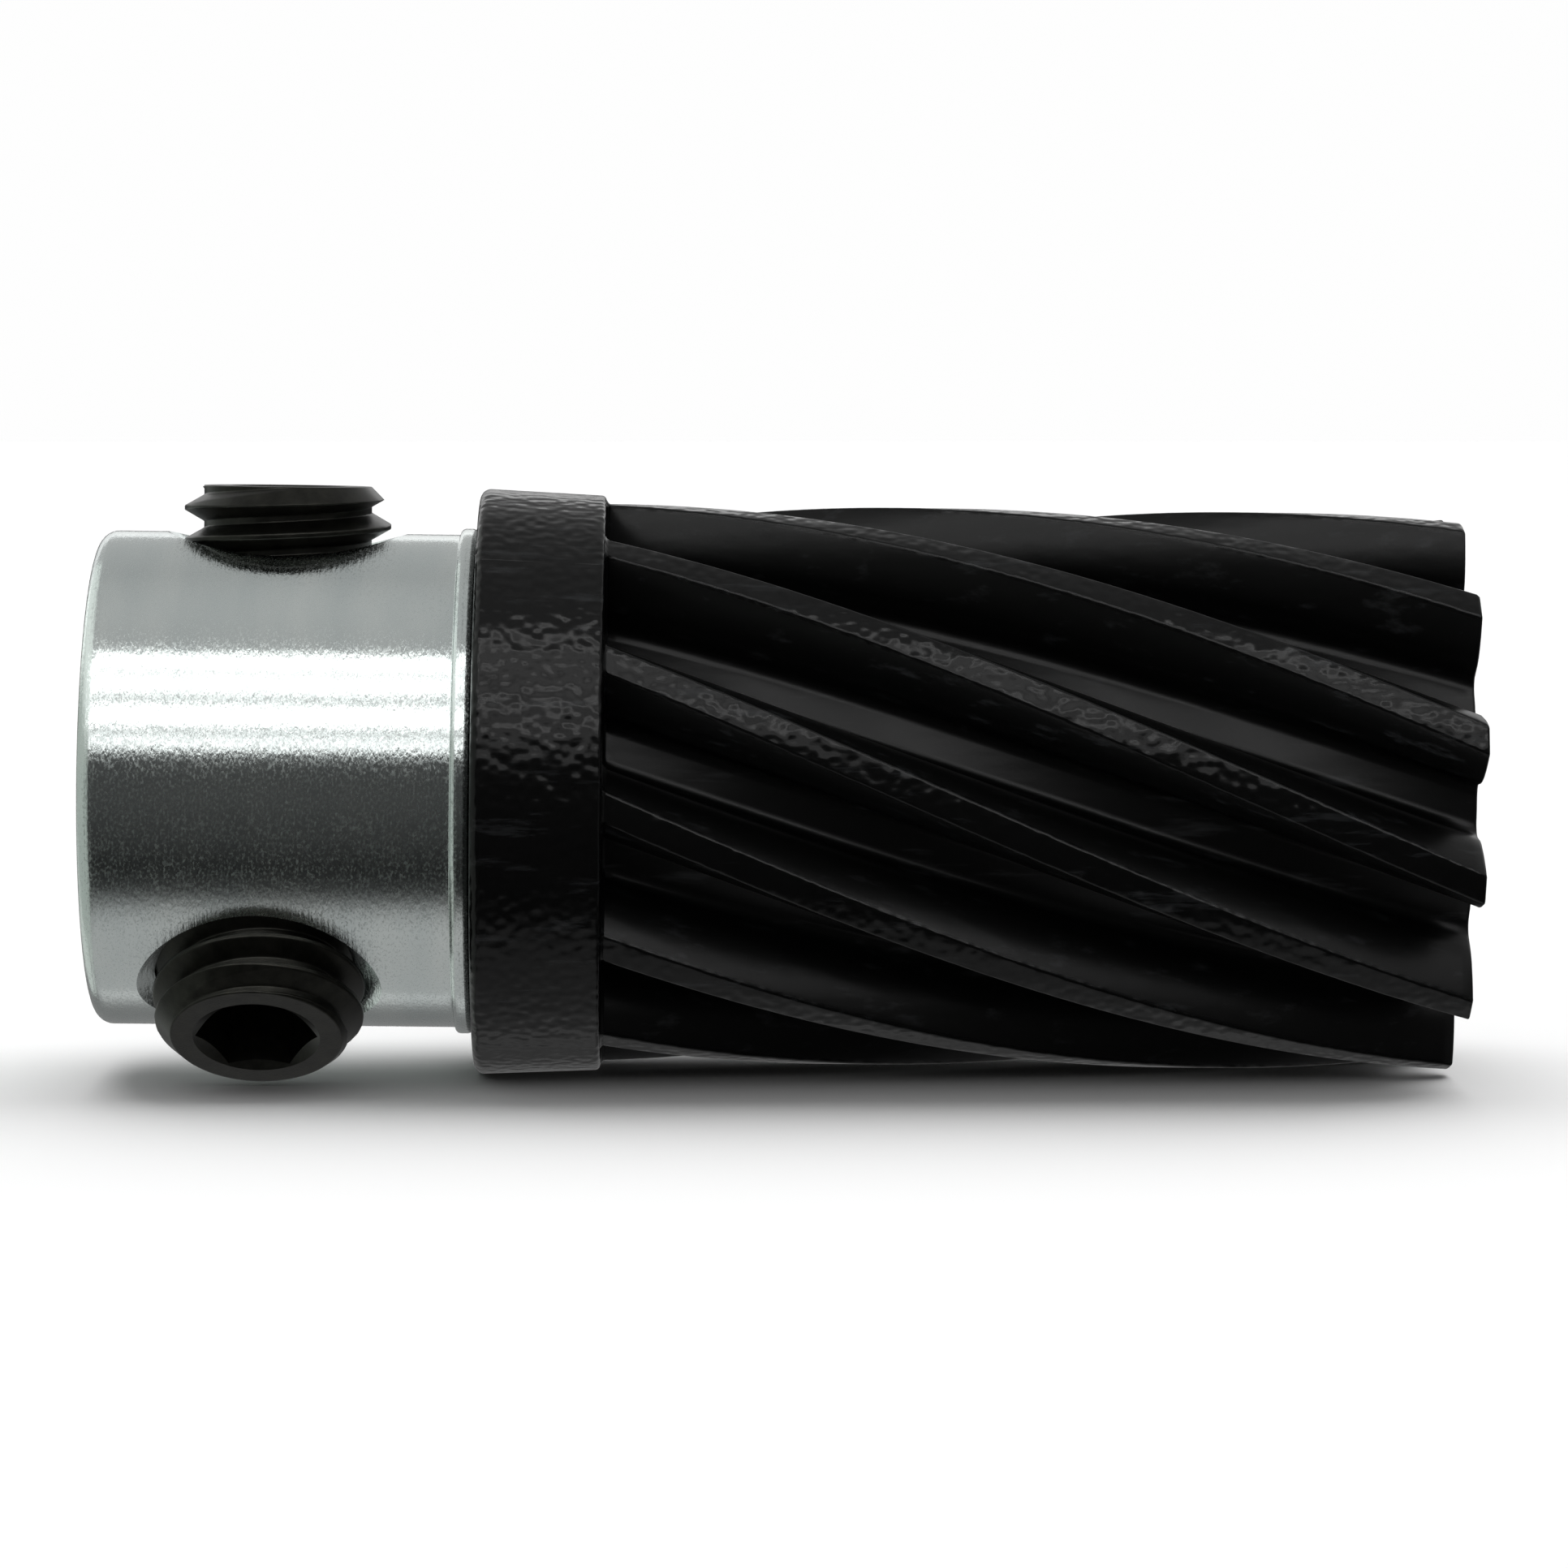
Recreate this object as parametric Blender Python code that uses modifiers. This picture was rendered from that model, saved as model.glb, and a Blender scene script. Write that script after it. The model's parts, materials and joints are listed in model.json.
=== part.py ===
"""Helical pinion on a turned aluminium hub, held to its shaft by two set screws.

The shaft axis is world X. The origin is the middle of the hub's outer end face,
+X runs towards the teeth and +Z is up, along the upper set screw.
"""
import math

import bmesh
import bpy

MM = 0.001
OBJECT_NAME = "helical_pinion_and_hub"

# Standard parts that the rest is sized around
SCREW_DIAMETER = 5.0 * MM          # M5 set screws
SCREW_PITCH = 0.8 * MM
SCREW_LENGTH = 4.0 * MM
SOCKET_FLATS = 2.5 * MM
SHAFT_DIAMETER = 6.0 * MM

# Hub: head with the two screws, thin rim, sleeve through the gear
HEAD_DIAMETER = 12.0 * MM
HEAD_LENGTH = 8.72 * MM
HEAD_EDGE = 0.4 * MM
RIM_DIAMETER = 12.3 * MM
RIM_THICKNESS = 0.42 * MM
SLEEVE_DIAMETER = 8.0 * MM
BORE_CHAMFER = 0.3 * MM

# Moulded gear: plain collar, then the teeth
COLLAR_DIAMETER = 14.25 * MM
COLLAR_LENGTH = 3.05 * MM
COLLAR_DRAFT = 0.12 * MM           # how much smaller the radius is beside the teeth
COLLAR_EDGE = 0.22 * MM
FACE_WIDTH = 20.66 * MM
TEETH = 12
NORMAL_MODULE = 0.9 * MM
PRESSURE_ANGLE = math.radians(14.5)
HELIX_ANGLE = math.radians(20.0)   # right hand
PROFILE_SHIFT = 0.17
WHOLE_DEPTH = 2.1                  # in modules
ROOT_SPREAD = math.radians(1.6)    # each side of a tooth's foot, for its fillet
TOOTH_PHASE = math.radians(0.64)   # a tooth's middle at the collar, from the Y axis

# Clearances
FIT_GAP = 0.05 * MM                # gear on sleeve and against the rim
THREAD_GAP = 0.05 * MM             # radial, set screw in its hole

# Set screws, radial in the head: place along the shaft, angle about it from +Z, and
# how far the point stands clear of the shaft
SCREWS = {
    "set_screw_upper": (4.51 * MM, 0.0, 0.14 * MM),
    "set_screw_lower": (4.15 * MM, math.radians(142.0), 0.37 * MM),
}
SCREW_CHAMFER = 0.45 * MM
THREAD_DEPTH = 0.45 * MM
CREST_WIDTH = 0.1 * SCREW_PITCH
SOCKET_DEPTH = 1.9 * MM
CUP_DIAMETER = 2.6 * MM
CUP_DEPTH = 0.6 * MM
COUNTERSINK_DIAMETER = 5.8 * MM

# Worked out from the above
RIM_FACE = HEAD_LENGTH + RIM_THICKNESS
COLLAR_START = RIM_FACE + FIT_GAP
TEETH_START = COLLAR_START + COLLAR_LENGTH
OVERALL_LENGTH = TEETH_START + FACE_WIDTH
GEAR_BORE_RADIUS = 0.5 * SLEEVE_DIAMETER + FIT_GAP
PITCH_RADIUS = 0.5 * NORMAL_MODULE * TEETH / math.cos(HELIX_ANGLE)
TIP_RADIUS = PITCH_RADIUS + NORMAL_MODULE * (1.0 + PROFILE_SHIFT)
ROOT_RADIUS = TIP_RADIUS - WHOLE_DEPTH * NORMAL_MODULE
TWIST_PER_METRE = math.tan(HELIX_ANGLE) / PITCH_RADIUS
TRANSVERSE_ANGLE = math.atan(math.tan(PRESSURE_ANGLE) / math.cos(HELIX_ANGLE))
BASE_RADIUS = PITCH_RADIUS * math.cos(TRANSVERSE_ANGLE)

# Fineness of the round shapes
TURNED_STEPS = 48
SCREW_STEPS = 24
CORNER_STEPS = 3
TWIST_STEPS = 15
FLANK_POINTS = 3
SMOOTH_LIMIT = math.radians(35.0)
MERGE = 0.00001
CUT_PAST = 1.0 * MM                # how far a cutter runs past the face it opens
HEXAGON = 6


def clear_scene():
    for item in list(bpy.data.objects):
        bpy.data.objects.remove(item, do_unlink=True)


def new_collection(name):
    collection = bpy.data.collections.new(name)
    bpy.context.scene.collection.children.link(collection)
    return collection


def make_material(name, colour, metallic, roughness):
    material = bpy.data.materials.new(name)
    material.use_nodes = True
    material.diffuse_color = (*colour, 1.0)
    shader = material.node_tree.nodes["Principled BSDF"]
    shader.inputs["Base Color"].default_value = (*colour, 1.0)
    shader.inputs["Metallic"].default_value = metallic
    shader.inputs["Roughness"].default_value = roughness
    return material


def add_object(name, mesh, collection, material=None):
    item = bpy.data.objects.new(name, mesh)
    collection.objects.link(item)
    if material:
        mesh.materials.append(material)
    return item


def smooth(mesh):
    mesh.shade_smooth()
    mesh.set_sharp_from_angle(angle=SMOOTH_LIMIT)


def mesh_from(bm, name):
    mesh = bpy.data.meshes.new(name)
    bm.to_mesh(mesh)
    bm.free()
    return mesh


def turned(name, profile, collection, material=None, steps=TURNED_STEPS, closed=False):
    """A solid turned about local Z from (radius, height) points, outer side running down."""
    bm = bmesh.new()
    points = [bm.verts.new((radius, 0.0, height)) for radius, height in profile]
    for start, end in zip(points, points[1:]):
        bm.edges.new((start, end))
    if closed:
        bm.edges.new((points[-1], points[0]))
    item = add_object(name, mesh_from(bm, name), collection, material)
    turn = item.modifiers.new("turn", "SCREW")
    turn.axis = "Z"
    turn.angle = 2.0 * math.pi
    turn.steps = steps
    turn.render_steps = steps
    turn.use_merge_vertices = True
    turn.merge_threshold = MERGE
    return item


def as_cutter(item):
    item.hide_render = True
    item.display_type = "WIRE"
    return item


def combine(item, other, operation):
    step = item.modifiers.new(f"{operation.lower()}_{other.name}", "BOOLEAN")
    step.operation = operation
    step.solver = "EXACT"
    step.object = other


def along_shaft(item):
    """Turns a piece modelled about local Z so that it lies along world X."""
    item.rotation_euler = (0.0, 0.5 * math.pi, 0.0)


def screw_frame(name, collection):
    """An empty on the shaft axis whose +Z points out along a set screw."""
    station, turn, _ = SCREWS[name]
    frame = bpy.data.objects.new(f"{name}_axis", None)
    collection.objects.link(frame)
    frame.empty_display_size = SCREW_DIAMETER
    frame.location = (station, 0.0, 0.0)
    frame.rotation_euler = (turn, 0.0, 0.0)
    return frame


def screw_tip(name):
    """How far a set screw's point is from the shaft axis."""
    clear = SCREWS[name][2]
    return 0.5 * SHAFT_DIAMETER + clear


def screw_hole(name, frame, cutters):
    """Clearance for the thread, opening into a 90 degree countersink at the surface."""
    hole = 0.5 * SCREW_DIAMETER + THREAD_GAP
    mouth = 0.5 * COUNTERSINK_DIAMETER
    surface = 0.5 * HEAD_DIAMETER
    profile = [
        (0.0, surface + CUT_PAST),
        (mouth + CUT_PAST, surface + CUT_PAST),
        (hole, surface - (mouth - hole)),
        (hole, 0.0),
        (0.0, 0.0),
    ]
    cutter = as_cutter(turned(name, profile, cutters, steps=SCREW_STEPS))
    cutter.parent = frame
    return cutter


def make_hub(frames, parts, cutters, material):
    bore = 0.5 * SHAFT_DIAMETER
    sleeve = 0.5 * SLEEVE_DIAMETER
    rim = 0.5 * RIM_DIAMETER
    head = 0.5 * HEAD_DIAMETER
    profile = [
        (sleeve, OVERALL_LENGTH),
        (sleeve, RIM_FACE),
        (rim, RIM_FACE),
        (rim, HEAD_LENGTH),
        (head, HEAD_LENGTH),
        (head, HEAD_EDGE),
        (head - HEAD_EDGE, 0.0),
        (bore + BORE_CHAMFER, 0.0),
        (bore, BORE_CHAMFER),
        (bore, OVERALL_LENGTH - BORE_CHAMFER),
        (bore + BORE_CHAMFER, OVERALL_LENGTH),
    ]
    hub = turned("hub", profile, parts, material, closed=True)
    smooth(hub.data)
    along_shaft(hub)
    for name, frame in frames.items():
        combine(hub, screw_hole(f"{name}_hole", frame, cutters), "DIFFERENCE")
    return hub


def involute(angle):
    return math.tan(angle) - angle


def half_tooth(radius):
    """Half the angle that a tooth fills at a radius."""
    at_pitch = 0.5 * math.pi / TEETH
    shifted = 2.0 * PROFILE_SHIFT * math.tan(PRESSURE_ANGLE) / TEETH
    at_base = at_pitch + shifted + involute(TRANSVERSE_ANGLE)
    if radius <= BASE_RADIUS:
        return at_base
    return at_base - involute(math.acos(BASE_RADIUS / radius))


def tooth_outline():
    """(radius, angle) points of one tooth, from foot to foot, about its middle."""
    span = TIP_RADIUS - BASE_RADIUS
    radii = [BASE_RADIUS + span * i / (FLANK_POINTS - 1) for i in range(FLANK_POINTS)]
    foot = (ROOT_RADIUS, half_tooth(BASE_RADIUS) + ROOT_SPREAD)
    rising = [foot] + [(radius, half_tooth(radius)) for radius in radii]
    falling = [(radius, -angle) for radius, angle in rising]
    return falling + rising[::-1]


def toothed_bar(name, collection, material):
    """The teeth's section swept along a right-hand helix, from inside the collar."""
    start = TEETH_START - 0.5 * COLLAR_LENGTH
    length = OVERALL_LENGTH - start
    first = TOOTH_PHASE - TWIST_PER_METRE * (TEETH_START - start)
    bm = bmesh.new()
    corners = []
    for tooth in range(TEETH):
        middle = first + 2.0 * math.pi * tooth / TEETH
        for radius, angle in tooth_outline():
            turn = middle + angle
            corner = (radius * math.cos(turn), radius * math.sin(turn), start)
            corners.append(bm.verts.new(corner))
    section = bm.faces.new(corners)
    section.normal_flip()
    bmesh.ops.spin(
        bm,
        geom=list(bm.verts) + list(bm.edges) + [section],
        axis=(0.0, 0.0, 1.0),
        cent=(0.0, 0.0, 0.0),
        dvec=(0.0, 0.0, length / TWIST_STEPS),
        angle=TWIST_PER_METRE * length,
        steps=TWIST_STEPS,
        use_duplicate=False,
    )
    bmesh.ops.recalc_face_normals(bm, faces=bm.faces)
    return add_object(name, mesh_from(bm, name), collection, material)


def collar_blank(cutters):
    """The plain collar, rounded at its outer edge and drawn in towards the teeth."""
    outer = 0.5 * COLLAR_DIAMETER
    inner_edge = outer - COLLAR_DRAFT
    corner = [(0.0, TEETH_START), (inner_edge, TEETH_START)]
    for step in range(CORNER_STEPS + 1):
        turn = 0.5 * math.pi * step / CORNER_STEPS
        radius = outer - COLLAR_EDGE * (1.0 - math.cos(turn))
        height = COLLAR_START + COLLAR_EDGE * (1.0 - math.sin(turn))
        corner.append((radius, height))
    corner.append((0.0, COLLAR_START))
    return as_cutter(turned("collar_blank", corner, cutters))


def gear_bore(cutters):
    profile = [
        (0.0, OVERALL_LENGTH + CUT_PAST),
        (GEAR_BORE_RADIUS, OVERALL_LENGTH + CUT_PAST),
        (GEAR_BORE_RADIUS, COLLAR_START - CUT_PAST),
        (0.0, COLLAR_START - CUT_PAST),
    ]
    return as_cutter(turned("gear_bore", profile, cutters))


def make_gear(parts, cutters, material):
    gear = toothed_bar("helical_pinion", parts, material)
    smooth(gear.data)
    along_shaft(gear)
    collar = collar_blank(cutters)
    along_shaft(collar)
    combine(gear, collar, "UNION")
    bore = gear_bore(cutters)
    along_shaft(bore)
    combine(gear, bore, "DIFFERENCE")
    return gear


def screw_profile():
    """Crests and grooves of the thread, with a chamfer at each end."""
    crest = 0.5 * SCREW_DIAMETER
    groove = crest - THREAD_DEPTH
    end = crest - SCREW_CHAMFER
    profile = [(0.0, SCREW_LENGTH), (end, SCREW_LENGTH)]
    turns = round(SCREW_LENGTH / SCREW_PITCH)
    for turn in range(turns):
        top = SCREW_LENGTH - turn * SCREW_PITCH
        middle = top - 0.5 * SCREW_PITCH
        profile.append((crest, middle + 0.5 * CREST_WIDTH))
        profile.append((crest, middle - 0.5 * CREST_WIDTH))
        if turn < turns - 1:
            profile.append((groove, top - SCREW_PITCH))
    profile.append((end, 0.0))
    profile.append((0.0, 0.0))
    return profile


def hex_socket(name, frame, cutters):
    """A hexagonal prism with two corners in line with the shaft."""
    bm = bmesh.new()
    corner_radius = SOCKET_FLATS / math.sqrt(3.0)
    depth = SOCKET_DEPTH + CUT_PAST
    bmesh.ops.create_cone(
        bm,
        cap_ends=True,
        segments=HEXAGON,
        radius1=corner_radius,
        radius2=corner_radius,
        depth=depth,
    )
    bmesh.ops.translate(bm, verts=bm.verts, vec=(0.0, 0.0, 0.5 * depth))
    label = f"{name}_socket"
    cutter = as_cutter(add_object(label, mesh_from(bm, label), cutters))
    cutter.parent = frame
    cutter.location.z = screw_tip(name) + SCREW_LENGTH - SOCKET_DEPTH
    cutter.rotation_euler.z = math.pi / HEXAGON
    return cutter


def cup_point(name, frame, cutters):
    """The hollow in the screw's tip that leaves a ring to bite on the shaft."""
    over = CUP_DEPTH
    radius = 0.5 * CUP_DIAMETER
    profile = [(0.0, CUP_DEPTH), (radius * (CUP_DEPTH + over) / CUP_DEPTH, -over), (0.0, -over)]
    cutter = as_cutter(turned(f"{name}_cup", profile, cutters, steps=SCREW_STEPS))
    cutter.parent = frame
    cutter.location.z = screw_tip(name)
    return cutter


def make_set_screw(name, frame, parts, cutters, material):
    screw = turned(name, screw_profile(), parts, material, steps=SCREW_STEPS)
    smooth(screw.data)
    screw.parent = frame
    screw.location.z = screw_tip(name)
    combine(screw, hex_socket(name, frame, cutters), "DIFFERENCE")
    combine(screw, cup_point(name, frame, cutters), "DIFFERENCE")
    return screw


def main():
    clear_scene()
    parts = new_collection(OBJECT_NAME)
    cutters = new_collection("cutters")
    aluminium = make_material("turned_aluminium", (0.62, 0.65, 0.64), 1.0, 0.32)
    plastic = make_material("black_plastic", (0.012, 0.012, 0.013), 0.0, 0.45)
    frames = {name: screw_frame(name, parts) for name in SCREWS}
    make_hub(frames, parts, cutters, aluminium)
    make_gear(parts, cutters, plastic)
    for name, frame in frames.items():
        steel = make_material(f"{name}_steel", (0.02, 0.02, 0.016), 1.0, 0.4)
        make_set_screw(name, frame, parts, cutters, steel)


main()
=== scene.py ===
"""Looks of a helical pinion on a turned aluminium hub with two hex-socket set screws."""
import json
import math

import bmesh
import bpy
import numpy as np
from mathutils import Matrix, Vector


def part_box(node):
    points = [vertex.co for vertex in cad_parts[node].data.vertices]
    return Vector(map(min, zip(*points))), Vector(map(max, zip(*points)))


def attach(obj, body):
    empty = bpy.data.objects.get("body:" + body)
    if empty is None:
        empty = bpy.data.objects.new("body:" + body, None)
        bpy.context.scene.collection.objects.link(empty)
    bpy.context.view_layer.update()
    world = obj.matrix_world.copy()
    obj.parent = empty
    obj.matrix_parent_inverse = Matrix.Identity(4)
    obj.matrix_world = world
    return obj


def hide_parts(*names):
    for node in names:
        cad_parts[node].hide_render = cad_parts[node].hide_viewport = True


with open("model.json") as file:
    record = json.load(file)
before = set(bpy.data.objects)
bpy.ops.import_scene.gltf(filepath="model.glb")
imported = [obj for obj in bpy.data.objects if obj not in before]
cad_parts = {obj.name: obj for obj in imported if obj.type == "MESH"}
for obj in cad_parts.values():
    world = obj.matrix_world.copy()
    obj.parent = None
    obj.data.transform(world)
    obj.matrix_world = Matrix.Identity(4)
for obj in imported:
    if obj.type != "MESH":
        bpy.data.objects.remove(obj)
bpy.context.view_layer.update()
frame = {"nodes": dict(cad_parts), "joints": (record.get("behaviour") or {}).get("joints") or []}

MM = 0.001

# The CAD boxes give the main sizes and places
HUB_LOW, HUB_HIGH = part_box("hub")
GEAR_LOW, GEAR_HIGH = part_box("helical_pinion")
UPPER_LOW, UPPER_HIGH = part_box("set_screw_upper")
HUB_START = HUB_LOW.x
HUB_END = HUB_HIGH.x
RIM_RADIUS = HUB_HIGH.y
COLLAR_START = GEAR_LOW.x
GEAR_END = GEAR_HIGH.x
COLLAR_RADIUS = GEAR_HIGH.y
SCREW_RADIUS = 0.5 * (UPPER_HIGH.x - UPPER_LOW.x)

# Hub
HEAD_RADIUS = 6.0 * MM
HEAD_END = 8.72 * MM
RIM_END = 9.14 * MM
HEAD_EDGE = 0.42 * MM
NECK = 0.04 * MM                   # fillet between the head and the rim
RIM_EDGE = 0.12 * MM
KNURL_START = RIM_END + 0.5 * MM
BORE_RADIUS = 3.0 * MM
BORE_CHAMFER = 0.3 * MM
SLEEVE_RADIUS = 4.0 * MM
SLEEVE_CHAMFER = 0.12 * MM
KNURL_DEPTH = 0.05 * MM
KNURLS = 48
RING_POINTS = 288
FACE_RINGS = 12
HEAD_RINGS = 52
KNURL_RINGS = 24
BORE_RINGS = 40
EDGE_STEPS = 8
SMALL_EDGE_STEPS = 3

# Gear
TEETH = 12
NORMAL_MODULE = 0.9 * MM
PRESSURE_ANGLE = math.radians(14.5)
HELIX_ANGLE = math.radians(20.0)
PROFILE_SHIFT = 0.17
WHOLE_DEPTH = 2.1
TOOTH_PHASE = math.radians(0.64)
COLLAR_LENGTH = 3.05 * MM
COLLAR_DRAFT = 0.12 * MM
COLLAR_EDGE = 0.24 * MM
COLLAR_SHOULDER = 0.12 * MM
COLLAR_BORE = SLEEVE_RADIUS + 0.5 * MM     # radius where the collar's face starts
COLLAR_FACE = 5.5 * MM             # radius up to which that face has no more points
COLLAR_RINGS = 12
TIP_ROUNDING = 0.1 * MM
TIP_FLAT = 1.6                     # tip roundings kept clear at the top of a flank
TIP_POINTS = (0.45, 0.2)           # shares of half a tip
FLANK_POINTS = 9
ROOT_ROUNDING = 0.3 * MM
ROOT_STEPS = 6
END_ROUNDING = 0.08 * MM
TOOTH_FILLET = 0.1 * MM            # where the teeth leave the collar
FILLET_SHARES = (1.0, 0.5, 0.15)
FILLET_RISE = 0.06 * MM            # how far it may stand past the collar's shoulder
CORNER_STEPS = 4
KNURL_GAP = 0.02 * MM
SKIN_DEPTH = 0.12 * MM             # how far inside the tooth tips the outer skin fades out
HELIX_RINGS = 96

TEETH_START = COLLAR_START + COLLAR_LENGTH
SHOULDER_RADIUS = COLLAR_RADIUS - COLLAR_DRAFT - COLLAR_SHOULDER
PITCH_RADIUS = 0.5 * NORMAL_MODULE * TEETH / math.cos(HELIX_ANGLE)
TIP_RADIUS = PITCH_RADIUS + NORMAL_MODULE * (1.0 + PROFILE_SHIFT)
ROOT_RADIUS = TIP_RADIUS - WHOLE_DEPTH * NORMAL_MODULE
TWIST_PER_METRE = math.tan(HELIX_ANGLE) / PITCH_RADIUS
TRANSVERSE_ANGLE = math.atan(math.tan(PRESSURE_ANGLE) / math.cos(HELIX_ANGLE))
BASE_RADIUS = PITCH_RADIUS * math.cos(TRANSVERSE_ANGLE)

# Set screws and their threaded holes
PITCH = 0.8 * MM
THREAD_DEPTH = 0.47 * MM
CREST_SHARE = 0.125                # of the pitch
GROOVE_SHARE = 0.2
THREAD_CLEARANCE = 0.03 * MM
THREAD_PHASES = {"set_screw_upper": 0.72, "set_screw_lower": 0.35}
END_CHAMFER = 0.48 * MM
COUNTERSINK_RADIUS = 2.9 * MM
SOCKET_FLATS = 2.5 * MM
SOCKET_DEPTH = 1.9 * MM
SOCKET_MOUTH = 1.5 * MM            # radius of the lead-in
MOUTH_SLOPE = 0.6
DRILL_RADIUS = 1.2 * MM
DRILL_STEP = 0.02 * MM
DRILL_DEPTH = 0.35 * MM
POINT = 0.02                       # share of a radius left at the tip of a cone
CUP_RADIUS = 1.3 * MM
CUP_DEPTH = 0.6 * MM
EDGE_HOLD = 0.04 * MM              # flat kept beside a softened edge
SCREW_POINTS = 192
SCREW_ROWS = 36                    # in each pitch
HOLE_POINTS = 96
HOLE_ROWS = 16                     # in each pitch
HOLE_LOW = 0.45 * BORE_RADIUS      # the cutter's ends: inside the bore and outside the head
HOLE_HIGH = 1.35 * HEAD_RADIUS

# Angles in degrees past which an edge shades as sharp
SHARP = 30.0
GEAR_SHARP = 40.0
STRAIGHT = 1e-4                    # radians; a smaller turn isn't rounded


# ---------------------------------------------------------------- meshes

def add_mesh(name, verts, faces, sharp=SHARP):
    """A mesh object from vertices and faces."""
    mesh = bpy.data.meshes.new(name)
    mesh.from_pydata([tuple(v) for v in verts], [], faces)
    item = bpy.data.objects.new(name, mesh)
    bpy.context.scene.collection.objects.link(item)
    finish_mesh(mesh, sharp)
    return item


def finish_mesh(mesh, sharp):
    """Turns the faces outwards and shades them smooth up to a sharp angle in degrees."""
    bm = bmesh.new()
    bm.from_mesh(mesh)
    bmesh.ops.recalc_face_normals(bm, faces=bm.faces)
    bm.to_mesh(mesh)
    bm.free()
    mesh.shade_smooth()
    mesh.set_sharp_from_angle(angle=math.radians(sharp))


def loft(name, loops, wrap=False, sharp=SHARP):
    """Quads between closed loops of equal length. The last loop joins the first one, or
    both ends run in to a point."""
    loops = np.asarray(loops, float)
    count, size = loops.shape[:2]
    verts = list(loops.reshape(-1, 3))
    faces = []
    for row in range(count if wrap else count - 1):
        here = row * size
        there = (row + 1) % count * size
        for i in range(size):
            j = (i + 1) % size
            faces.append((here + i, here + j, there + j, there + i))
    if not wrap:
        for row in (0, count - 1):
            start = row * size
            middle = len(verts)
            verts.append(loops[row].mean(axis=0))
            faces += [(start + i, start + (i + 1) % size, middle) for i in range(size)]
    return add_mesh(name, verts, faces, sharp)


def arc(centre, radius, start, end, steps):
    """Points of an arc, both ends included; angles in degrees."""
    turns = np.radians(np.linspace(start, end, steps + 1))
    return [(centre[0] + radius * math.cos(t), centre[1] + radius * math.sin(t)) for t in turns]


def rounded(before, corner, after, radius, steps):
    """Points of the arc that rounds a corner between two straight runs."""
    corner, back, on = Vector(corner), Vector(before), Vector(after)
    to_back = (back - corner).normalized()
    to_on = (on - corner).normalized()
    half = 0.5 * to_back.angle(to_on)
    reach = radius / math.tan(half)
    middle = corner + (to_back + to_on).normalized() * (radius / math.sin(half))
    first = corner + to_back * reach - middle
    last = corner + to_on * reach - middle
    points = []
    for step in range(steps + 1):
        share = step / steps
        spoke = first.slerp(last, share) if first.angle(last) > STRAIGHT else first
        points.append(tuple(middle + spoke.normalized() * radius))
    return points


def ring(x, radii, angles):
    """A loop about the shaft, from a radius and an angle for each point."""
    radii = np.broadcast_to(radii, angles.shape)
    x = np.broadcast_to(x, angles.shape)
    return np.stack([x, radii * np.cos(angles), radii * np.sin(angles)], axis=1)


def spaced(start, end, steps):
    """The values between start and end, without either."""
    return list(np.linspace(start, end, steps + 1)[1:-1])


def cut(item, cutter, sharp=SHARP):
    """Subtracts the cutter for good, and removes it."""
    step = item.modifiers.new("cut", "BOOLEAN")
    step.operation = "DIFFERENCE"
    step.solver = "EXACT"
    step.object = cutter
    graph = bpy.context.evaluated_depsgraph_get()
    mesh = bpy.data.meshes.new_from_object(item.evaluated_get(graph))
    item.modifiers.clear()
    item.data = mesh
    bpy.data.objects.remove(cutter, do_unlink=True)
    mesh.shade_smooth()
    mesh.set_sharp_from_angle(angle=math.radians(sharp))
    return item


# ---------------------------------------------------------------- threads

def thread_field(angles, heights, phase, outer):
    """Radius of a right-hand thread at each angle and height along its axis."""
    turns = heights[:, None] / PITCH - angles[None, :] / (2.0 * math.pi) - phase
    from_crest = np.abs((turns + 0.5) % 1.0 - 0.5)
    half_crest = 0.5 * CREST_SHARE
    half_groove = 0.5 - 0.5 * GROOVE_SHARE
    depth = np.clip((from_crest - half_crest) / (half_groove - half_crest), 0.0, 1.0)
    return outer - THREAD_DEPTH * depth


def screw_loops(radii, heights, angles):
    """Loops about a screw's own axis, which is local Z."""
    loops = []
    for row, height in zip(np.asarray(radii), heights):
        row = np.broadcast_to(row, angles.shape)
        level = np.broadcast_to(height, angles.shape)
        loops.append(np.stack([row * np.cos(angles), row * np.sin(angles), level], axis=1))
    return loops


def measure_screw(joint):
    """Where a set screw stands: its place, and how far its tip and end are from the shaft axis."""
    name = joint["child"]
    up = Vector(joint["axis"]).normalized()
    along = Vector((1.0, 0.0, 0.0))
    turn = Matrix((along, up.cross(along), up)).transposed().to_4x4()
    low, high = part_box(name)
    station = 0.5 * (low.x + high.x)
    reach = [up.dot(vertex.co) for vertex in frame["nodes"][name].data.vertices]
    place = Matrix.Translation((station, 0.0, 0.0)) @ turn
    return place, min(reach), max(reach)


def hexagon(angles):
    """Radius of a hexagon with a corner on local X."""
    sixth = math.pi / 3.0
    return 0.5 * SOCKET_FLATS / np.cos((angles % sixth) - 0.5 * sixth)


def soften(mesh, radius):
    """Lets every edge outside a radius about local Z shade as rounded."""
    outside = [math.hypot(vertex.co.x, vertex.co.y) > radius for vertex in mesh.vertices]
    for edge in mesh.edges:
        if outside[edge.vertices[0]] and outside[edge.vertices[1]]:
            edge.use_edge_sharp = False


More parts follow.
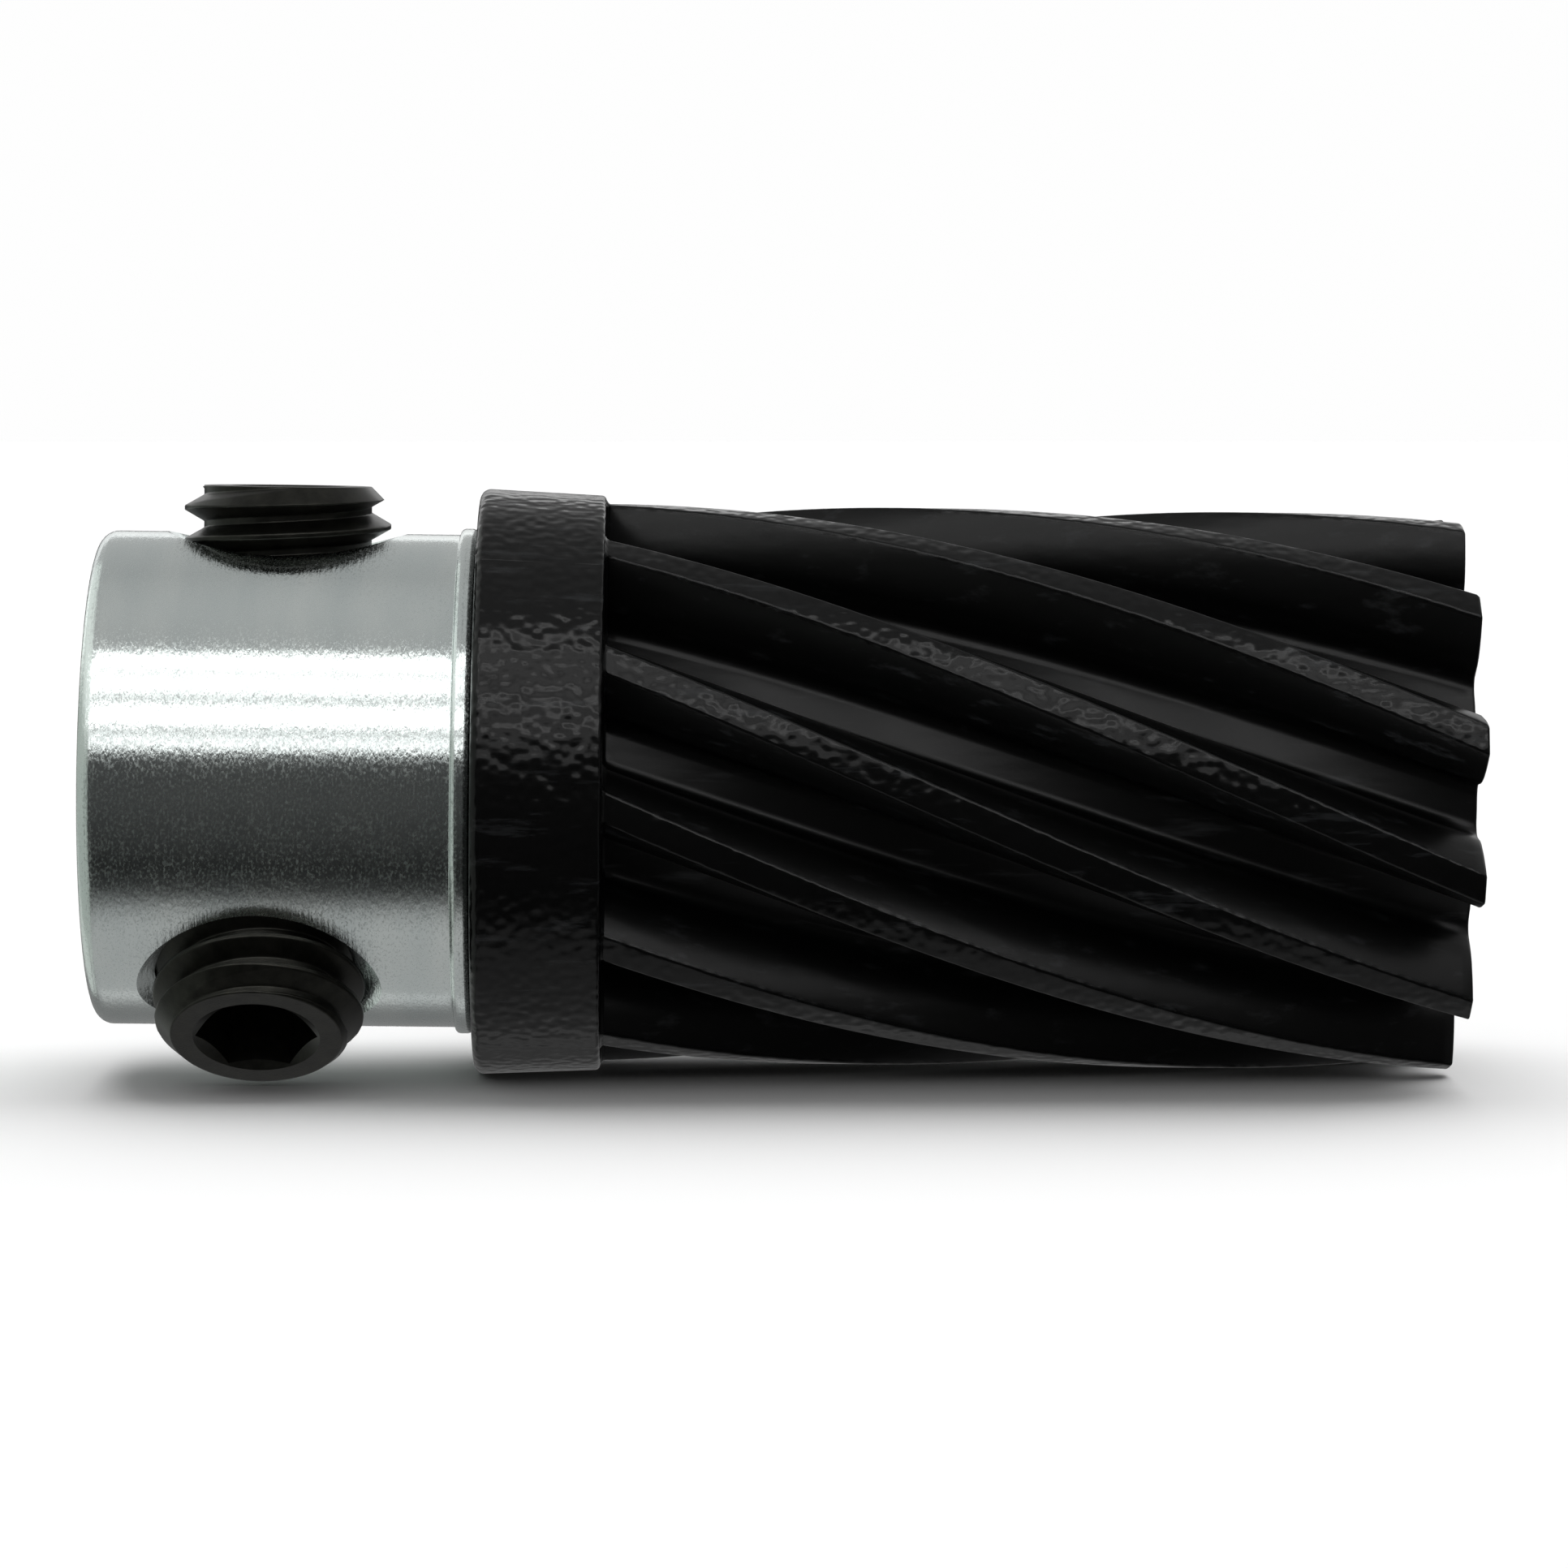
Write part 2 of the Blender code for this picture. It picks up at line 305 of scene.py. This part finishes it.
def make_screw(name, place, tip, end):
    """Threaded body with chamfered ends, a hexagon socket and a cup point."""
    angles = np.arange(SCREW_POINTS) * 2.0 * math.pi / SCREW_POINTS
    rows = round((end - tip) / PITCH * SCREW_ROWS)
    heights = np.linspace(tip, end, rows + 1)
    field = thread_field(angles, heights, THREAD_PHASES[name], SCREW_RADIUS)
    from_end = np.minimum(heights - tip, end - heights)
    limit = SCREW_RADIUS - END_CHAMFER + from_end
    body = np.minimum(field, limit[:, None])
    six = hexagon(angles)
    floor = end - SOCKET_DEPTH
    loops = screw_loops(
        [POINT * CUP_RADIUS, 0.5 * CUP_RADIUS, CUP_RADIUS],
        [tip + CUP_DEPTH, tip + 0.5 * CUP_DEPTH, tip],
        angles,
    )
    loops += screw_loops(body, heights, angles)
    lead = (SOCKET_MOUTH - six) * MOUTH_SLOPE
    face = SCREW_RADIUS - END_CHAMFER
    loops += screw_loops([face - EDGE_HOLD, SOCKET_MOUTH + EDGE_HOLD], [end, end], angles)
    loops += screw_loops([SOCKET_MOUTH], [end], angles)
    loops += screw_loops([six, six], [end - lead, floor], angles)
    loops += screw_loops([np.minimum(six, DRILL_RADIUS)], [floor - DRILL_STEP], angles)
    loops += screw_loops([POINT * DRILL_RADIUS], [floor - DRILL_DEPTH], angles)
    screw = loft(f"{name}_visual", loops)
    soften(screw.data, face - EDGE_HOLD)
    screw.data.transform(place)
    return screw


def make_hole(name, place):
    """What the tapped and countersunk hole takes out of the hub's head."""
    angles = np.arange(HOLE_POINTS) * 2.0 * math.pi / HOLE_POINTS
    rows = round((HOLE_HIGH - HOLE_LOW) / PITCH * HOLE_ROWS)
    heights = np.linspace(HOLE_LOW, HOLE_HIGH, rows + 1)
    outer = SCREW_RADIUS + THREAD_CLEARANCE
    field = thread_field(angles, heights, THREAD_PHASES[name], outer)
    cone = COUNTERSINK_RADIUS + heights - HEAD_RADIUS
    body = np.maximum(field, cone[:, None])
    hole = loft(f"{name}_hole", screw_loops(body, heights, angles))
    hole.data.transform(place)
    finish_mesh(hole.data, SHARP)
    return hole


# ---------------------------------------------------------------- pieces

def knurl(angles):
    """Depth of the knurl at each angle, from 0 on its crests to 1 in its grooves."""
    share = (angles * KNURLS / (2.0 * math.pi)) % 1.0
    return 1.0 - np.abs(2.0 * share - 1.0)


def hub_profile():
    """(place along the shaft, radius) of the head and the rim, from the bore's mouth outwards."""
    edge_middle = (HUB_START + HEAD_EDGE, HEAD_RADIUS - HEAD_EDGE)
    mouth = BORE_RADIUS + BORE_CHAMFER
    profile = [(HUB_START, r) for r in np.linspace(mouth, edge_middle[1], FACE_RINGS)[:-1]]
    profile += arc(edge_middle, HEAD_EDGE, 180.0, 90.0, EDGE_STEPS)
    profile += [(x, HEAD_RADIUS) for x in spaced(edge_middle[0], HEAD_END, HEAD_RINGS)]
    neck = (HEAD_END - NECK, HEAD_RADIUS + NECK)
    near_edge = (HEAD_END + RIM_EDGE, RIM_RADIUS - RIM_EDGE)
    far_edge = (RIM_END - RIM_EDGE, RIM_RADIUS - RIM_EDGE)
    profile += arc(neck, NECK, -90.0, 0.0, SMALL_EDGE_STEPS)
    profile += arc(near_edge, RIM_EDGE, 180.0, 90.0, SMALL_EDGE_STEPS)
    profile += arc(far_edge, RIM_EDGE, 90.0, 0.0, SMALL_EDGE_STEPS)
    profile += [(RIM_END, SLEEVE_RADIUS)]
    return profile


def make_hub(screws):
    """Head, rim and knurled sleeve, bored through, with a tapped hole for each screw."""
    angles = np.arange(RING_POINTS) * 2.0 * math.pi / RING_POINTS
    loops = [ring(x, r, angles) for x, r in hub_profile()]
    sleeve = SLEEVE_RADIUS - KNURL_DEPTH * knurl(angles)
    for x in np.linspace(KNURL_START, HUB_END - SLEEVE_CHAMFER, KNURL_RINGS):
        loops.append(ring(x, sleeve, angles))
    loops.append(ring(HUB_END, sleeve - SLEEVE_CHAMFER, angles))
    loops.append(ring(HUB_END, BORE_RADIUS + BORE_CHAMFER, angles))
    loops.append(ring(HUB_END - BORE_CHAMFER, BORE_RADIUS, angles))
    for x in spaced(HUB_END - BORE_CHAMFER, HUB_START + BORE_CHAMFER, BORE_RINGS):
        loops.append(ring(x, BORE_RADIUS, angles))
    loops.append(ring(HUB_START + BORE_CHAMFER, BORE_RADIUS, angles))
    hub = loft("hub_visual", loops, wrap=True)
    for name, (place, _, _) in screws.items():
        cut(hub, make_hole(name, place))
    return hub


def involute(angle):
    """The involute function of a pressure angle."""
    return math.tan(angle) - angle


def half_tooth(radius):
    """Half the angle that a tooth fills at a radius."""
    at_pitch = 0.5 * math.pi / TEETH
    shifted = 2.0 * PROFILE_SHIFT * math.tan(PRESSURE_ANGLE) / TEETH
    at_base = at_pitch + shifted + involute(TRANSVERSE_ANGLE)
    if radius <= BASE_RADIUS:
        return at_base
    return at_base - involute(math.acos(BASE_RADIUS / radius))


def polar(radius, angle):
    """A point of the section, from its radius and angle."""
    return (radius * math.cos(angle), radius * math.sin(angle))


def half_outline():
    """One tooth's outline from the middle of a gap up to the middle of its tip."""
    foot_angle = -half_tooth(BASE_RADIUS)
    gap_angle = -math.pi / TEETH
    foot = polar(ROOT_RADIUS, foot_angle)
    base = polar(BASE_RADIUS, foot_angle)
    gap = polar(ROOT_RADIUS, gap_angle)
    points = [gap]
    points += rounded(gap, foot, base, ROOT_ROUNDING, ROOT_STEPS)
    high = TIP_RADIUS - TIP_FLAT * TIP_ROUNDING
    points += [polar(r, -half_tooth(r)) for r in np.linspace(BASE_RADIUS, high, FLANK_POINTS)]
    corner_angle = -half_tooth(TIP_RADIUS)
    corner = polar(TIP_RADIUS, corner_angle)
    on = polar(TIP_RADIUS, 0.5 * corner_angle)
    points += rounded(points[-1], corner, on, TIP_ROUNDING, CORNER_STEPS)
    points += [polar(TIP_RADIUS, corner_angle * share) for share in TIP_POINTS]
    return points


def gear_outline():
    """The whole transverse section as radii and angles, anticlockwise."""
    rising = [(math.hypot(*p), math.atan2(p[1], p[0])) for p in half_outline()]
    falling = [(r, -a) for r, a in rising[::-1]][:-1]
    tooth = rising + [(TIP_RADIUS, 0.0)] + falling
    radii = []
    angles = []
    for index in range(TEETH):
        for radius, angle in tooth:
            radii.append(radius)
            angles.append(angle + TOOTH_PHASE + 2.0 * math.pi * index / TEETH)
    return np.array(radii), np.array(angles)


def inset(radii, angles, distance):
    """The outline moved inwards by a distance, as radii and angles."""
    points = np.stack([radii * np.cos(angles), radii * np.sin(angles)], axis=1)
    along = np.roll(points, -1, axis=0) - np.roll(points, 1, axis=0)
    along /= np.linalg.norm(along, axis=1)[:, None]
    inward = np.stack([-along[:, 1], along[:, 0]], axis=1)
    moved = points + inward * distance
    return np.hypot(moved[:, 0], moved[:, 1]), np.arctan2(moved[:, 1], moved[:, 0])


def collar_profile():
    """(place along the shaft, radius) of the collar, from its bore to its shoulder."""
    edge = (COLLAR_START + COLLAR_EDGE, COLLAR_RADIUS - COLLAR_EDGE)
    collar = [(COLLAR_START, COLLAR_BORE), (COLLAR_START, COLLAR_FACE)]
    collar += arc(edge, COLLAR_EDGE, 180.0, 90.0, EDGE_STEPS)
    shoulder = (TEETH_START - COLLAR_SHOULDER, SHOULDER_RADIUS)
    for x in spaced(edge[0], shoulder[0], COLLAR_RINGS):
        share = (x - edge[0]) / (shoulder[0] - edge[0])
        collar.append((x, COLLAR_RADIUS - share * COLLAR_DRAFT))
    return collar + arc(shoulder, COLLAR_SHOULDER, 90.0, 0.0, CORNER_STEPS)


def fillet_loops(radii, angles):
    """The teeth's section, flared where it leaves the collar."""
    loops = []
    for share in FILLET_SHARES:
        out_radii, out_angles = inset(radii, angles, -TOOTH_FILLET * share * share)
        limit = np.minimum(out_radii, SHOULDER_RADIUS + FILLET_RISE)
        loops.append(ring(TEETH_START + TOOTH_FILLET * (1.0 - share), limit, out_angles))
    return loops


def end_loops(radii, angles):
    """The teeth's rounded far edge."""
    last = TWIST_PER_METRE * (GEAR_END - TEETH_START)
    loops = []
    for turn in (30.0, 60.0, 90.0):
        side = 1.0 - math.cos(math.radians(turn))
        forward = math.sin(math.radians(turn))
        in_radii, in_angles = inset(radii, angles, END_ROUNDING * side)
        x = GEAR_END - END_ROUNDING * (1.0 - forward)
        loops.append(ring(x, in_radii, in_angles + last))
    return loops


def make_gear():
    """Collar, teeth and bore as one moulding, lofted round its section."""
    radii, angles = gear_outline()
    loops = [ring(x, radius, angles) for x, radius in collar_profile()]
    loops += fillet_loops(radii, angles)
    for x in np.linspace(TEETH_START + TOOTH_FILLET, GEAR_END - END_ROUNDING, HELIX_RINGS):
        loops.append(ring(x, radii, angles + TWIST_PER_METRE * (x - TEETH_START)))
    loops += end_loops(radii, angles)
    for x in np.linspace(GEAR_END, COLLAR_START, BORE_RINGS):
        turned = angles + TWIST_PER_METRE * (x - TEETH_START)
        bore = SLEEVE_RADIUS + KNURL_GAP - KNURL_DEPTH * knurl(turned)
        loops.append(ring(x, bore, turned))
    return loft("helical_pinion_visual", loops, wrap=True, sharp=GEAR_SHARP)


# ---------------------------------------------------------------- materials

# Colours
ALUMINIUM_DARK = (0.70, 0.76, 0.75)
ALUMINIUM_LIGHT = (0.79, 0.84, 0.82)
PLASTIC_BLACK = (0.0024, 0.0025, 0.0025)
PLASTIC_SCUFF = (0.016, 0.017, 0.018)
OXIDE_BLACK = (0.010, 0.010, 0.008)
OXIDE_WORN = (0.026, 0.026, 0.021)
FLOOR_WHITE = (0.93, 0.93, 0.93, 1.0)

# Heights of the surface marks
RING_HEIGHT = 0.010 * MM
STREAK_HEIGHT = 0.006 * MM
GRAIN_HEIGHT = 0.0008 * MM
DRIFT_HEIGHT = 0.02 * MM
DIMPLE_HEIGHT = 0.036 * MM
FINE_HEIGHT = 0.0016 * MM
OXIDE_HEIGHT = 0.003 * MM

# Roughness: smooth and rough
GRAIN_SMOOTH = 0.16
GRAIN_INSIDE = 0.24
GRAIN_OUTSIDE = 0.46
FLANK_ROUGHNESS = 0.32
SKIN_ROUGHNESS = 0.18
OXIDE_SMOOTH = 0.24
OXIDE_ROUGH = 0.38
FLOOR_ROUGHNESS = 0.9

# Gloss
ANISOTROPY = 0.9
QUARTER_TURN = 0.25                # the gloss runs across the tool marks
PLASTIC_SPECULAR = 0.24
OXIDE_METALLIC = 0.75


class Nodes:
    """A material's node tree, with short calls for the nodes used here."""

    def __init__(self, name):
        self.material = bpy.data.materials.new(name)
        self.material.use_nodes = True
        self.tree = self.material.node_tree
        self.shader = self.tree.nodes["Principled BSDF"]

    def add(self, kind, inputs=None, **settings):
        """A node whose inputs are sockets to link or values to set."""
        node = self.tree.nodes.new(kind)
        for key, value in settings.items():
            setattr(node, key, value)
        for key, value in (inputs or {}).items():
            if isinstance(value, bpy.types.NodeSocket):
                self.tree.links.new(value, node.inputs[key])
            else:
                node.inputs[key].default_value = value
        return node

    def link(self, output, name):
        """Feeds one of the shader's inputs."""
        self.tree.links.new(output, self.shader.inputs[name])

    def place(self, stretch=(1.0, 1.0, 1.0)):
        """Coordinates in millimetres, stretched by axis."""
        where = self.add("ShaderNodeTexCoord").outputs["Object"]
        scale = tuple(s / MM for s in stretch)
        return self.add("ShaderNodeMapping", {"Vector": where, "Scale": scale}).outputs[0]

    def radius(self):
        """Distance from the shaft's axis, in metres."""
        where = self.add("ShaderNodeTexCoord").outputs["Object"]
        flat = {0: where, 1: (0.0, 1.0, 1.0)}
        across = self.add("ShaderNodeVectorMath", flat, operation="MULTIPLY").outputs[0]
        return self.add("ShaderNodeVectorMath", {0: across}, operation="LENGTH").outputs["Value"]

    def turned(self):
        """Coordinates in millimetres along the shaft and out from it, the same all round."""
        where = self.add("ShaderNodeTexCoord").outputs["Object"]
        along = self.add("ShaderNodeSeparateXYZ", {"Vector": where}).outputs["X"]
        profile = self.add("ShaderNodeCombineXYZ", {"X": along, "Y": self.radius()}).outputs[0]
        scale = (1.0 / MM, 1.0 / MM, 1.0 / MM)
        return self.add("ShaderNodeMapping", {"Vector": profile, "Scale": scale}).outputs[0]

    def noise(self, vector, scale, detail=3.0, roughness=0.5):
        """Noise with a scale in lumps for each millimetre."""
        inputs = {"Vector": vector, "Scale": scale, "Detail": detail, "Roughness": roughness}
        return self.add("ShaderNodeTexNoise", inputs).outputs["Fac"]

    def ramp(self, value, low, high, from_colour, to_colour):
        """One colour below the low value, the other above the high one, blended between."""
        node = self.add("ShaderNodeValToRGB", {"Fac": value})
        node.color_ramp.elements[0].position = low
        node.color_ramp.elements[1].position = high
        node.color_ramp.elements[0].color = (*from_colour, 1.0)
        node.color_ramp.elements[1].color = (*to_colour, 1.0)
        return node.outputs["Color"]

    def spread(self, value, low, high, start=0.0, end=1.0):
        """Goes from low to high while the value goes from start to end."""
        inputs = {"Value": value, "From Min": start, "From Max": end, "To Min": low, "To Max": high}
        return self.add("ShaderNodeMapRange", inputs).outputs["Result"]

    def bump(self, height, distance, strength=1.0, normal=None):
        """A normal bent by a height field, on top of another normal."""
        inputs = {"Height": height, "Distance": distance, "Strength": strength}
        if normal is not None:
            inputs["Normal"] = normal
        return self.add("ShaderNodeBump", inputs).outputs["Normal"]


def aluminium():
    """Turned bright aluminium: rings of tool marks, short streaks and a satin grain,
    coarsest on the outside of the head."""
    n = Nodes("turned_aluminium")
    rings = n.noise(n.turned(), 11.0, 2.0)
    streaks = n.noise(n.place((1.0, 0.36, 0.36)), 15.0, 2.0, 0.6)
    grain = n.noise(n.place((1.0, 0.6, 0.6)), 20.0, 2.0, 0.6)
    broad = n.noise(n.place((1.0, 0.3, 0.3)), 0.9, 3.0)
    n.link(n.ramp(broad, 0.3, 0.7, ALUMINIUM_DARK, ALUMINIUM_LIGHT), "Base Color")
    face_edge = HEAD_RADIUS - HEAD_EDGE
    rough = n.spread(n.radius(), GRAIN_INSIDE, GRAIN_OUTSIDE, face_edge, HEAD_RADIUS)
    n.link(n.spread(grain, GRAIN_SMOOTH, rough, 0.45, 0.78), "Roughness")
    normal = n.bump(rings, RING_HEIGHT)
    normal = n.bump(streaks, STREAK_HEIGHT, 1.0, normal)
    normal = n.bump(grain, GRAIN_HEIGHT, 1.0, normal)
    n.link(normal, "Normal")
    n.shader.inputs["Metallic"].default_value = 1.0
    n.shader.inputs["Anisotropic"].default_value = ANISOTROPY
    n.shader.inputs["Anisotropic Rotation"].default_value = QUARTER_TURN
    tangent = n.add("ShaderNodeTangent", direction_type="RADIAL", axis="X")
    n.link(tangent.outputs[0], "Tangent")
    return n.material


def black_plastic():
    """Moulded black plastic: dimpled outer skin, smoother tooth flanks, pale scuffs."""
    n = Nodes("black_plastic")
    dimples = n.noise(n.place(), 4.2, 0.0)
    drift = n.noise(n.place((0.3, 1.0, 1.0)), 1.2, 2.0)
    fine = n.noise(n.place(), 12.0, 3.0, 0.6)
    scuff = n.noise(n.place((0.3, 2.2, 2.2)), 1.1, 4.0, 0.65)
    skin = n.spread(n.radius(), 0.0, 1.0, TIP_RADIUS - SKIN_DEPTH, TIP_RADIUS)
    n.link(n.ramp(scuff, 0.58, 0.72, PLASTIC_BLACK, PLASTIC_SCUFF), "Base Color")
    n.link(n.spread(skin, FLANK_ROUGHNESS, SKIN_ROUGHNESS), "Roughness")
    normal = n.bump(drift, DRIFT_HEIGHT)
    normal = n.bump(dimples, DIMPLE_HEIGHT, skin, normal)
    normal = n.bump(fine, FINE_HEIGHT, 1.0, normal)
    n.link(normal, "Normal")
    n.shader.inputs["Specular IOR Level"].default_value = PLASTIC_SPECULAR
    return n.material


def black_oxide():
    """Black oxide steel: a thin oily brown-black skin over fine machining."""
    n = Nodes("black_oxide_steel")
    patch = n.noise(n.place(), 2.4, 4.0, 0.6)
    fine = n.noise(n.place(), 26.0, 3.0, 0.6)
    n.link(n.ramp(patch, 0.3, 0.75, OXIDE_BLACK, OXIDE_WORN), "Base Color")
    n.link(n.spread(patch, OXIDE_SMOOTH, OXIDE_ROUGH), "Roughness")
    n.link(n.bump(fine, OXIDE_HEIGHT), "Normal")
    n.shader.inputs["Metallic"].default_value = OXIDE_METALLIC
    return n.material


# ---------------------------------------------------------------- studio

MIDDLE = Vector((0.5 * (HUB_START + HUB_END), 0.0, 0.0))
CAMERA_AIM = Vector((0.20 * MM, 0.0, 0.02 * MM))        # from the middle
CAMERA_DISTANCE = 128.7 * MM
CAMERA_ELEVATION = math.radians(4.0)
CAMERA_ROLL = math.radians(0.78)
CAMERA_LENS = 120.9
CAMERA_SIDE = -3.4 * MM            # along X, from the aim to the eye
CLIP_START = 0.001
CLIP_END = 20.0
FLOOR_SIZE = 3.0
FLOOR_POINTS = 128
LIGHT_DISTANCE = 0.5

# Strips of the key light and the bright tubes in it: lowest and highest elevation in
# degrees, seen from the object
KEY_STRIPS = ((16.5, 23.4), (27.4, 38.3), (42.5, 52.5), (54.7, 63.5))
KEY_WIDTH = 0.8
KEY_RADIANCE = 1.25
TUBES = ((32.1, 33.1), (58.2, 59.2))
TUBE_RADIANCE = 10.0

# Other panels: azimuth, lowest and highest elevation, width, radiance and colour
WHITE = (1.0, 1.0, 1.0)
PANELS = {
    "left": (-95.0, -55.0, 55.0, 1.2, 0.42, (0.92, 1.0, 0.93)),
    "right": (75.0, -30.0, 50.0, 0.4, 0.1, WHITE),
    "back": (180.0, 8.0, 25.0, 1.3, 0.8, WHITE),
    "back_floor": (180.0, -66.0, -8.0, 1.3, 0.18, WHITE),
}

# The soft light from above, slightly behind, that lights the floor
SUN_ENERGY = 2.55
SUN_ANGLE = math.radians(70.0)
SUN_DIRECTION = Vector((0.1, 0.5, 1.0)).normalized()

# Room light: sine of the elevation and grey level
ROOM = (
    (-1.0, 0.40), (-0.93, 0.42), (-0.86, 0.33), (-0.80, 0.13), (-0.74, 0.035), (-0.62, 0.014),
    (-0.4, 0.034), (-0.1, 0.052), (0.05, 0.052), (0.22, 0.06), (0.45, 0.48), (0.75, 0.44),
    (0.92, 0.40), (1.0, 0.46),
)
SEEN_WHITE = (0.99, 0.99, 0.99, 1.0)


def make_camera():
    """The eye a little above the object and to the left of its middle."""
    data = bpy.data.cameras.new("camera")
    data.lens = CAMERA_LENS
    data.clip_start = CLIP_START
    data.clip_end = CLIP_END
    camera = bpy.data.objects.new("camera", data)
    bpy.context.scene.collection.objects.link(camera)
    back = Vector((0.0, -math.cos(CAMERA_ELEVATION), math.sin(CAMERA_ELEVATION)))
    offset = Vector((CAMERA_SIDE, 0.0, 0.0)) + back * CAMERA_DISTANCE
    facing = (-offset).to_track_quat("-Z", "Y").to_matrix().to_4x4()
    place = Matrix.Translation(MIDDLE + CAMERA_AIM + offset)
    camera.matrix_world = place @ facing @ Matrix.Rotation(CAMERA_ROLL, 4, "Z")
    bpy.context.scene.camera = camera


def make_floor():
    """A pale sheet that the object lies on: the collar's rim at one end, the teeth at the other."""
    station = COLLAR_START + COLLAR_EDGE
    slope = (COLLAR_RADIUS - TIP_RADIUS) / (GEAR_END - station)
    bm = bmesh.new()
    bmesh.ops.create_circle(bm, cap_ends=True, segments=FLOOR_POINTS, radius=FLOOR_SIZE)
    mesh = bpy.data.meshes.new("floor")
    bm.to_mesh(mesh)
    bm.free()
    floor = bpy.data.objects.new("floor", mesh)
    bpy.context.scene.collection.objects.link(floor)
    floor.location = (station, 0.0, -COLLAR_RADIUS)
    floor.rotation_euler = (0.0, -math.atan(slope), 0.0)
    n = Nodes("pale_floor")
    n.shader.inputs["Base Color"].default_value = FLOOR_WHITE
    n.shader.inputs["Roughness"].default_value = FLOOR_ROUGHNESS
    n.shader.inputs["Specular IOR Level"].default_value = 0.0
    mesh.materials.append(n.material)
    floor.visible_glossy = False
    floor.visible_shadow = False


def make_world():
    """Soft room light, pale above and below and dim round the horizon, seen as white."""
    world = bpy.data.worlds.new("studio")
    bpy.context.scene.world = world
    world.use_nodes = True
    tree = world.node_tree
    tree.nodes.clear()
    output = tree.nodes.new("ShaderNodeOutputWorld")
    mixed = tree.nodes.new("ShaderNodeMixShader")
    seen = tree.nodes.new("ShaderNodeBackground")
    room = tree.nodes.new("ShaderNodeBackground")
    path = tree.nodes.new("ShaderNodeLightPath")
    where = tree.nodes.new("ShaderNodeTexCoord")
    split = tree.nodes.new("ShaderNodeSeparateXYZ")
    rise = tree.nodes.new("ShaderNodeMapRange")
    ramp = tree.nodes.new("ShaderNodeValToRGB")
    seen.inputs["Color"].default_value = SEEN_WHITE
    rise.inputs["From Min"].default_value = -1.0
    elements = ramp.color_ramp.elements
    while len(elements) < len(ROOM):
        elements.new(0.5)
    for element, (height, level) in zip(elements, ROOM):
        element.position = 0.5 + 0.5 * height
        element.color = (level, level, level, 1.0)
    links = tree.links
    links.new(where.outputs["Generated"], split.inputs[0])
    links.new(split.outputs["Z"], rise.inputs["Value"])
    links.new(rise.outputs["Result"], ramp.inputs["Fac"])
    links.new(ramp.outputs["Color"], room.inputs["Color"])
    links.new(path.outputs["Is Camera Ray"], mixed.inputs["Fac"])
    links.new(room.outputs[0], mixed.inputs[1])
    links.new(seen.outputs[0], mixed.inputs[2])
    links.new(mixed.outputs[0], output.inputs["Surface"])


def add_light(name, data, towards):
    """A light that shines from a direction on the middle of the object."""
    light = bpy.data.objects.new(name, data)
    bpy.context.scene.collection.objects.link(light)
    light.location = MIDDLE + towards * LIGHT_DISTANCE
    light.rotation_euler = towards.to_track_quat("Z", "Y").to_euler()
    light.visible_camera = False
    return light


def softbox(name, azimuth, low, high, width, radiance, colour=WHITE):
    """A panel between two elevations, seen in reflections only, so it casts no shadow.
    Azimuth 0 is the camera's side, 90 is +X."""
    turn = math.radians(azimuth)
    rise = math.radians(0.5 * (low + high))
    height = 2.0 * LIGHT_DISTANCE * math.tan(math.radians(0.5 * (high - low)))
    data = bpy.data.lights.new(name, "AREA")
    data.shape = "RECTANGLE"
    data.size = width
    data.size_y = height
    data.color = colour
    data.energy = radiance * math.pi * width * height
    level = math.cos(rise)
    towards = Vector((math.sin(turn) * level, -math.cos(turn) * level, math.sin(rise)))
    add_light(name, data, towards).visible_diffuse = False


def make_lights():
    """The striped key light, the other panels, and the light on the floor."""
    for index, (low, high) in enumerate(KEY_STRIPS):
        softbox(f"key_{index}", 0.0, low, high, KEY_WIDTH, KEY_RADIANCE)
    for index, (low, high) in enumerate(TUBES):
        softbox(f"tube_{index}", 0.0, low, high, KEY_WIDTH, TUBE_RADIANCE)
    for name, panel in PANELS.items():
        softbox(name, *panel)
    data = bpy.data.lights.new("floor_light", "SUN")
    data.energy = SUN_ENERGY
    data.angle = SUN_ANGLE
    add_light("floor_light", data, SUN_DIRECTION).visible_glossy = False


# ---------------------------------------------------------------- assembly

def finish_piece(piece, node, body, material):
    """Gives a piece its material and the body it rides, and hides the CAD node it stands for."""
    piece.data.materials.clear()
    piece.data.materials.append(material)
    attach(piece, body)
    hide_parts(node)


def main():
    screws = {joint["child"]: measure_screw(joint) for joint in frame["joints"]}
    finish_piece(make_hub(screws), "hub", "hub", aluminium())
    finish_piece(make_gear(), "helical_pinion", "hub", black_plastic())
    steel = black_oxide()
    for name, measures in screws.items():
        finish_piece(make_screw(name, *measures), name, name, steel)
    make_floor()
    make_camera()
    make_world()
    make_lights()
    bpy.context.scene.view_settings.view_transform = "Standard"


main()
